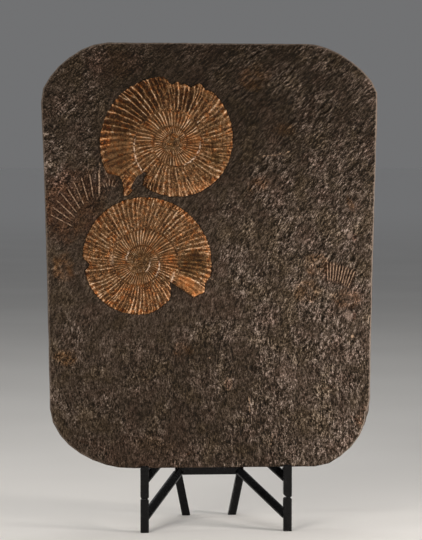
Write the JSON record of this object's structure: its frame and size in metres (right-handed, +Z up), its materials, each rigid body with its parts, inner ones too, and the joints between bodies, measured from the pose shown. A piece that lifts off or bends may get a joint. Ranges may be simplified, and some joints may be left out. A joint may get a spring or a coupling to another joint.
{
  "type": "ammonite cluster plate",
  "caption": "Rounded dark shale slab with two raised ribbed ammonites and faint fossil imprints, leaning on a black welded steel easel.",
  "frame": {"origin": "middle of the footprint, on the surface that the easel stands on", "axes": "+Z up, the fossil face towards -Y, +X to the viewer's right"},
  "size_m": [0.2438, 0.081, 0.3509],
  "materials": {
    "shale": "split surface, matt with a slight oily sheen",
    "shell": "golden brown calcite and rust, satin on the rib crests",
    "steel": "gloss black"
  },
  "bodies": {
    "root": {"matrix_slab": "shale", "upper_ammonite": "shell", "lower_ammonite": "shell", "left_foot": "steel", "right_foot": "steel", "left_hook": "steel", "right_hook": "steel", "left_lower_brace": "steel", "right_lower_brace": "steel", "left_upper_brace": "steel", "right_upper_brace": "steel", "crossbeam": "steel", "left_rear_leg": "steel", "right_rear_leg": "steel", "left_upright": "steel", "right_upright": "steel", "rest_bar": "steel"}
  },
  "joints": []
}
